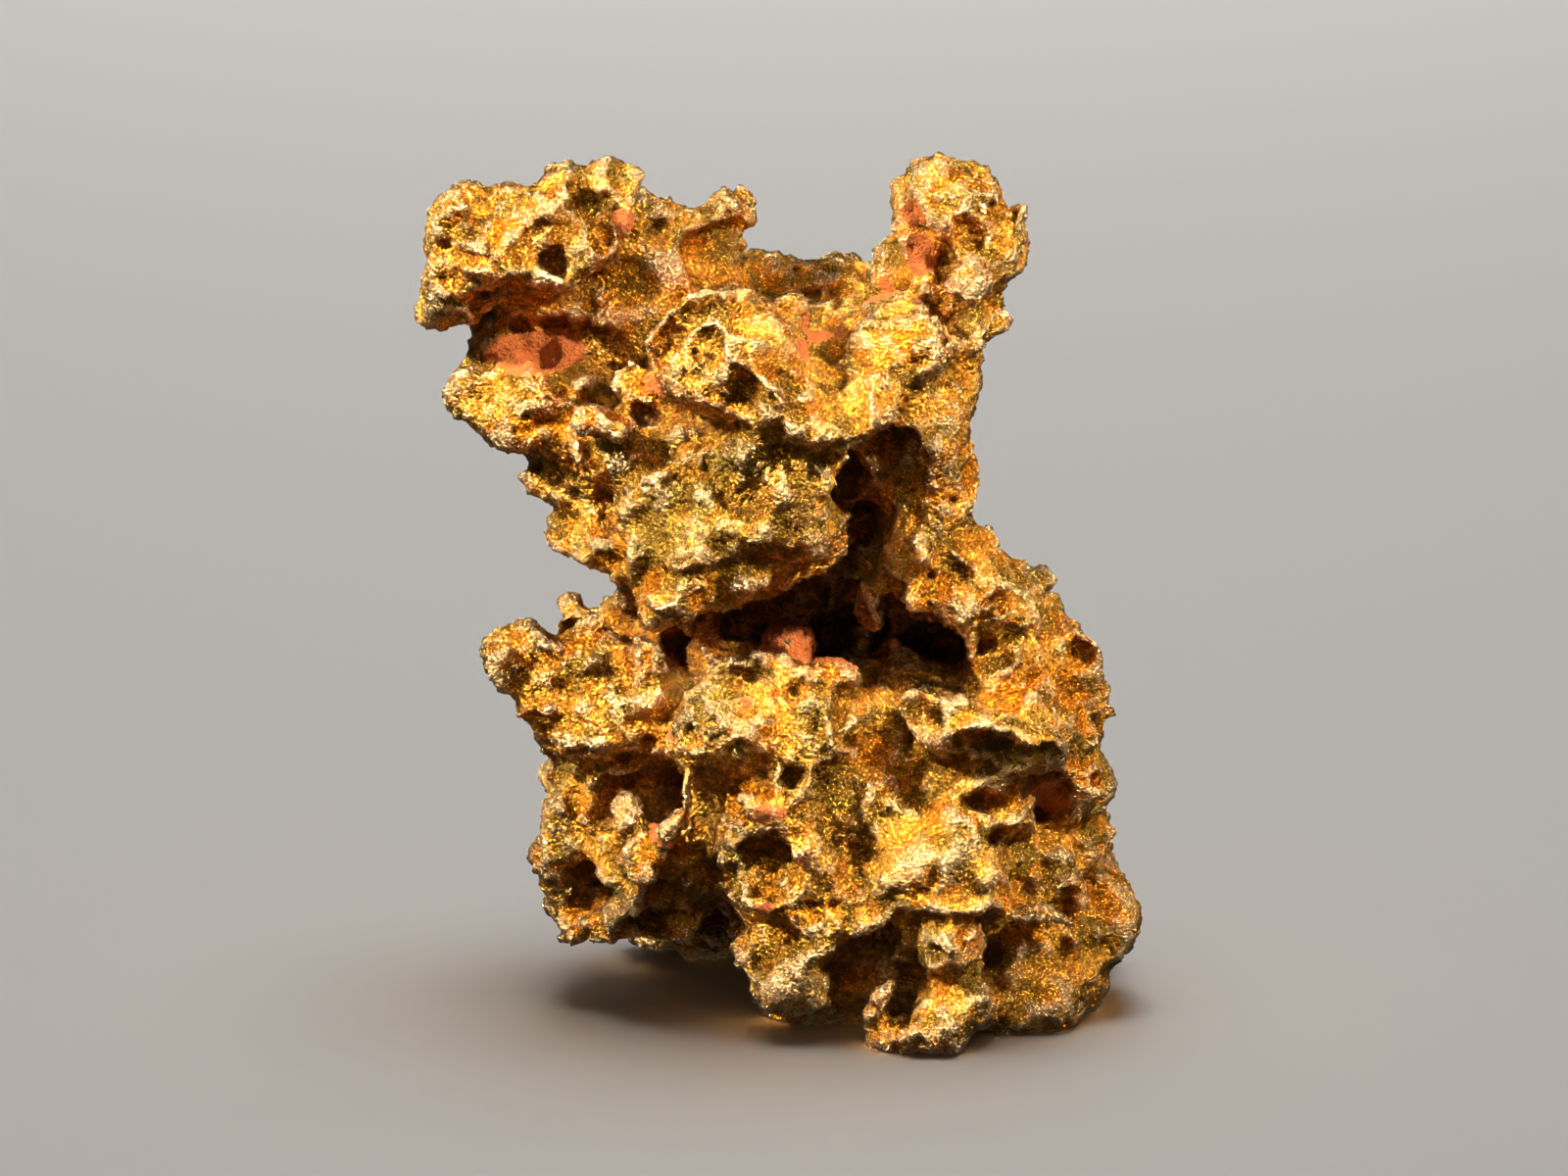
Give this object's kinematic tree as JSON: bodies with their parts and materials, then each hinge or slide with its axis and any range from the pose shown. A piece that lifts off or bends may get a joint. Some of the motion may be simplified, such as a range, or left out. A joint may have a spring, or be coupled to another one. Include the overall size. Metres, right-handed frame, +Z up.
{
  "type": "gold nugget",
  "caption": "Large natural gold nugget: an upright knobbly lump with a deep waist, an overhanging wing and a horn at the top, standing on a flat foot.",
  "frame": {"origin": "on the ground under the middle of the nugget", "axes": "+Z up, -Y towards the side with the deep waist, +X to that side's right"},
  "size_m": [0.2504, 0.155, 0.2992],
  "materials": {
    "native_gold": "rough granular native gold with rust-red iron clay in the hollows"
  },
  "bodies": {
    "root": {"gold_nugget": "native_gold"}
  },
  "joints": []
}
